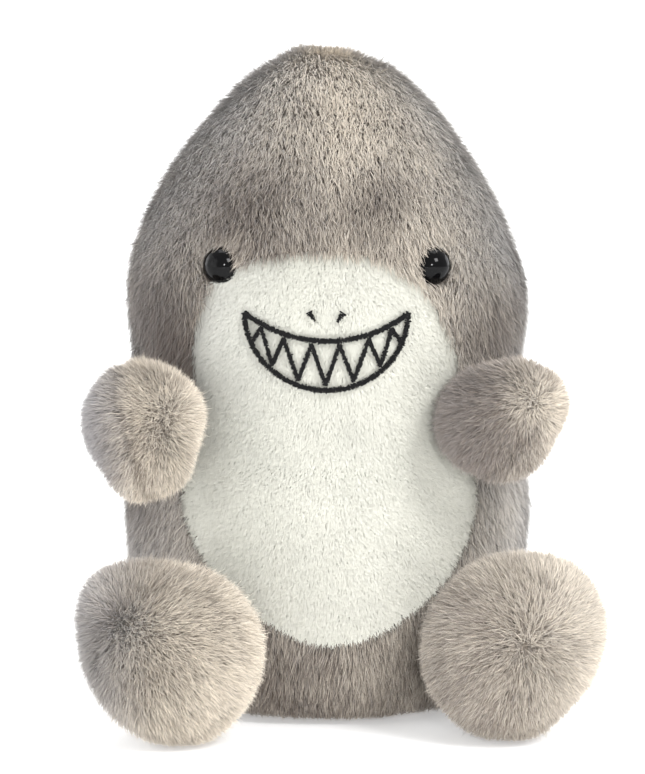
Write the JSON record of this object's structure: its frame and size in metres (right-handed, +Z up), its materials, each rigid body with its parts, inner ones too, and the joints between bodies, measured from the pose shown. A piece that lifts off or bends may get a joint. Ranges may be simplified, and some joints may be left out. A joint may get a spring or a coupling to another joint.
{
  "type": "plush shark",
  "caption": "Seated plush shark: rounded grey fur body, pale face and belly, embroidered toothy grin, glossy eyes, stub arms, ball feet, back fin and tail.",
  "frame": {"origin": "middle of the footprint, on the floor the toy sits on", "axes": "+Z up through the crown, -Y the way the face looks, +X to a viewer's right when facing it"},
  "size_m": [0.0974, 0.1202, 0.126],
  "materials": {
    "grey_plush": "long soft pile, mottled",
    "sandy_plush": "long soft pile, paler at the tips",
    "white_plush": "short soft pile",
    "eye_plastic": "glossy",
    "washer_plastic": "matt",
    "black_thread": "satin stitch",
    "grey_thread": "matt",
    "pouch_cloth": "thin nonwoven",
    "pellet_plastic": "matt",
    "fibrefill": "loose fibre"
  },
  "bodies": {
    "torso": {"back_left": "grey_plush", "back_right": "grey_plush", "face_panel": "white_plush", "belly_panel": "white_plush", "base_panel": "grey_plush", "eye_left": "eye_plastic", "eye_right": "eye_plastic", "eye_washer_left": "washer_plastic", "eye_washer_right": "washer_plastic", "mouth_outline": "black_thread", "teeth": "black_thread", "nostril_left": "black_thread", "nostril_right": "black_thread", "body_stuffing": "fibrefill", "pouch_upper": "pouch_cloth", "pouch_lower": "pouch_cloth", "bean_pellets": "pellet_plastic", "closing_stitches": "grey_thread"},
    "arm_left": {"arm_left_front": "sandy_plush", "arm_left_back": "sandy_plush", "arm_left_fill": "fibrefill"},
    "arm_right": {"arm_right_front": "sandy_plush", "arm_right_back": "sandy_plush", "arm_right_fill": "fibrefill"},
    "foot_left": {"foot_left_upper": "sandy_plush", "foot_left_sole": "sandy_plush", "foot_left_fill": "fibrefill"},
    "foot_right": {"foot_right_upper": "sandy_plush", "foot_right_sole": "sandy_plush", "foot_right_fill": "fibrefill"},
    "dorsal_fin": {"dorsal_fin_left": "grey_plush", "dorsal_fin_right": "grey_plush", "dorsal_fin_fill": "fibrefill"},
    "tail": {"tail_left": "grey_plush", "tail_right": "grey_plush", "tail_fill": "fibrefill"}
  },
  "joints": [
    {"name": "arm_left_root", "type": "hinge", "parent": "torso", "child": "arm_left", "pos_m": [-0.03722, -0.02876, 0.05838], "axis": [-0.977, -0.2132, 0], "range_deg": [-15, 50], "stiffness_Nm_per_rad": 0.01},
    {"name": "arm_right_root", "type": "hinge", "parent": "torso", "child": "arm_right", "pos_m": [0.02884, -0.03122, 0.05832], "axis": [-0.7186, -0.6954, 0], "range_deg": [-35, 35], "stiffness_Nm_per_rad": 0.01},
    {"name": "foot_left_root", "type": "hinge", "parent": "torso", "child": "foot_left", "pos_m": [-0.03207, -0.03451, 0.0166], "axis": [0, 0, -1], "range_deg": [-8, 22], "stiffness_Nm_per_rad": 0.02},
    {"name": "foot_right_root", "type": "hinge", "parent": "torso", "child": "foot_right", "pos_m": [0.03207, -0.03008, 0.0166], "axis": [0, 0, 1], "range_deg": [-8, 22], "stiffness_Nm_per_rad": 0.02},
    {"name": "dorsal_fin_root", "type": "hinge", "parent": "torso", "child": "dorsal_fin", "pos_m": [-0.00281, 0.04176, 0.07303], "axis": [0, -0.0639, 0.998], "range_deg": [-25, 25], "stiffness_Nm_per_rad": 0.008},
    {"name": "tail_root", "type": "hinge", "parent": "torso", "child": "tail", "pos_m": [-0.00281, 0.04402, 0.01936], "axis": [0, 0.1172, 0.9931], "range_deg": [-25, 25], "stiffness_Nm_per_rad": 0.008}
  ]
}
